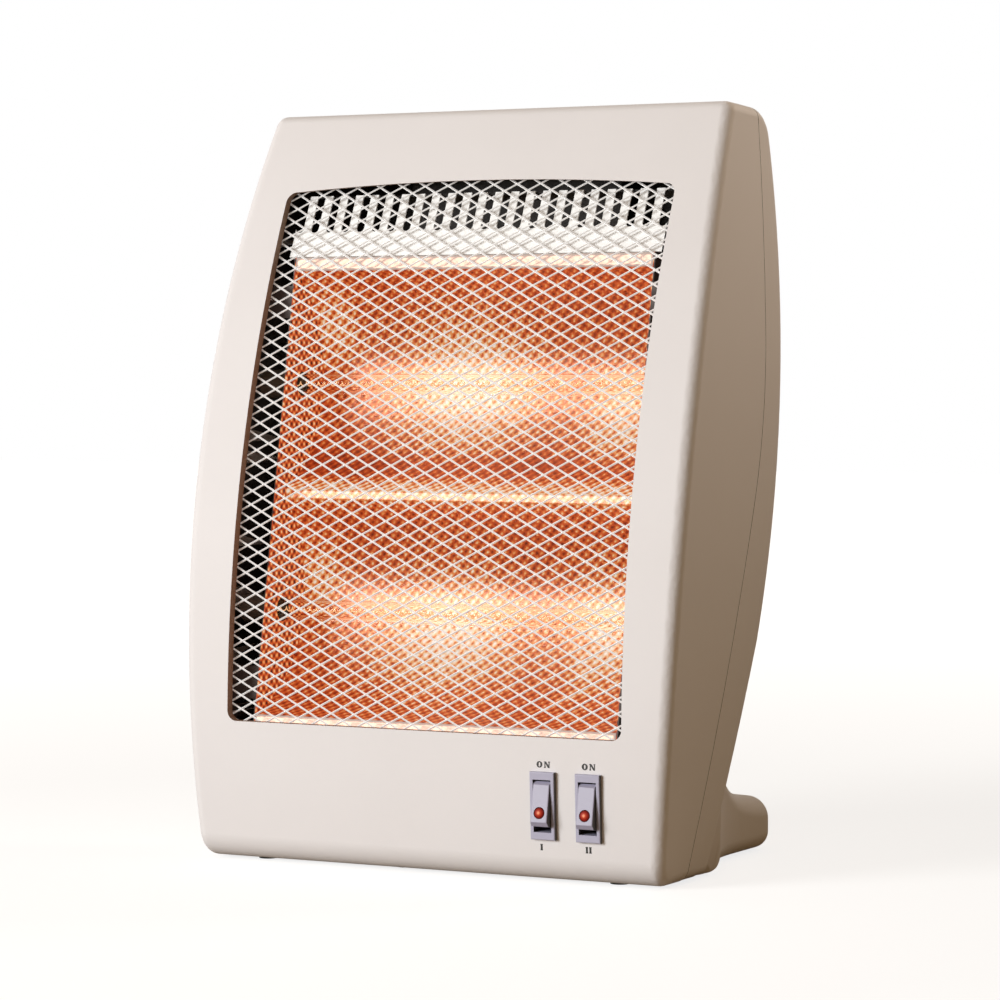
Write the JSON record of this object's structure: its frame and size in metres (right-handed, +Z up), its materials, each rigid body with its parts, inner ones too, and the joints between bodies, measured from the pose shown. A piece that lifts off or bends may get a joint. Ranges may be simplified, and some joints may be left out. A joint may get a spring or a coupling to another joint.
{
  "type": "halogen_heater",
  "caption": "Compact upright halogen heater with a bowed off-white plastic case, diamond wire mesh, embossed reflector, quartz tubes, rocker switches and rear feet.",
  "frame": {"origin": "centre of the box's underside, on the floor that the pads rest on", "axes": "+Z up, -Y is the heating front with the mesh, +X is to the right seen from the front"},
  "size_m": [0.2652, 0.1754, 0.3628],
  "materials": {
    "shell_plastic": "fine matte moulded grain",
    "mesh_chrome": "bright plated wire",
    "reflector_aluminium": "bright embossed sheet",
    "vent_aluminium": "plain bright sheet",
    "end_plate_steel": "plain sheet",
    "plain_steel": "zinc plated",
    "quartz_glass": "clear quartz",
    "coil_metal": "dull wire",
    "cap_ceramic": "fired ceramic",
    "switch_plastic": "satin moulded",
    "lens_red": "red tinted plastic lens",
    "blade_brass": "plain strip",
    "dark_plastic": "moulded",
    "white_plastic": "moulded",
    "pad_rubber": "soft rubber"
  },
  "bodies": {
    "housing": {"front_shell": "shell_plastic", "rear_cover": "shell_plastic", "mesh_grille": "mesh_chrome", "reflector": "reflector_aluminium", "reflector_end_right": "end_plate_steel", "reflector_end_left": "end_plate_steel", "vent_plate": "vent_aluminium", "lower_quartz_tube": "quartz_glass", "lower_coil": "coil_metal", "lower_tube_caps": "cap_ceramic", "upper_quartz_tube": "quartz_glass", "upper_coil": "coil_metal", "upper_tube_caps": "cap_ceramic", "right_tube_clips": "plain_steel", "left_tube_clips": "plain_steel", "tip_over_switch": "dark_plastic", "terminal_block": "white_plastic", "thermal_cutout": "dark_plastic", "cord_bush": "dark_plastic", "front_pads": "pad_rubber", "rear_pads": "pad_rubber", "cover_screws": "plain_steel", "reflector_screws": "plain_steel", "switch_housing_left": "switch_plastic", "switch_housing_right": "switch_plastic", "switch_blades_left": "blade_brass", "switch_blades_right": "blade_brass"},
    "left_rocker": {"rocker_left": "switch_plastic", "lamp_lens_left": "lens_red"},
    "right_rocker": {"rocker_right": "switch_plastic", "lamp_lens_right": "lens_red"},
    "plunger": {"tip_over_plunger": "dark_plastic"}
  },
  "joints": [
    {"name": "left_rocker_hinge", "type": "hinge", "parent": "housing", "child": "left_rocker", "pos_m": [0.0658, -0.07875, 0.03663], "axis": [1, 0, 0], "range_deg": [0, 24]},
    {"name": "right_rocker_hinge", "type": "hinge", "parent": "housing", "child": "right_rocker", "pos_m": [0.0891, -0.07875, 0.03663], "axis": [1, 0, 0], "range_deg": [0, 24]},
    {"name": "plunger_slide", "type": "slide", "parent": "housing", "child": "plunger", "axis": [0, 0, -1], "range_m": [0, 0.005]}
  ]
}
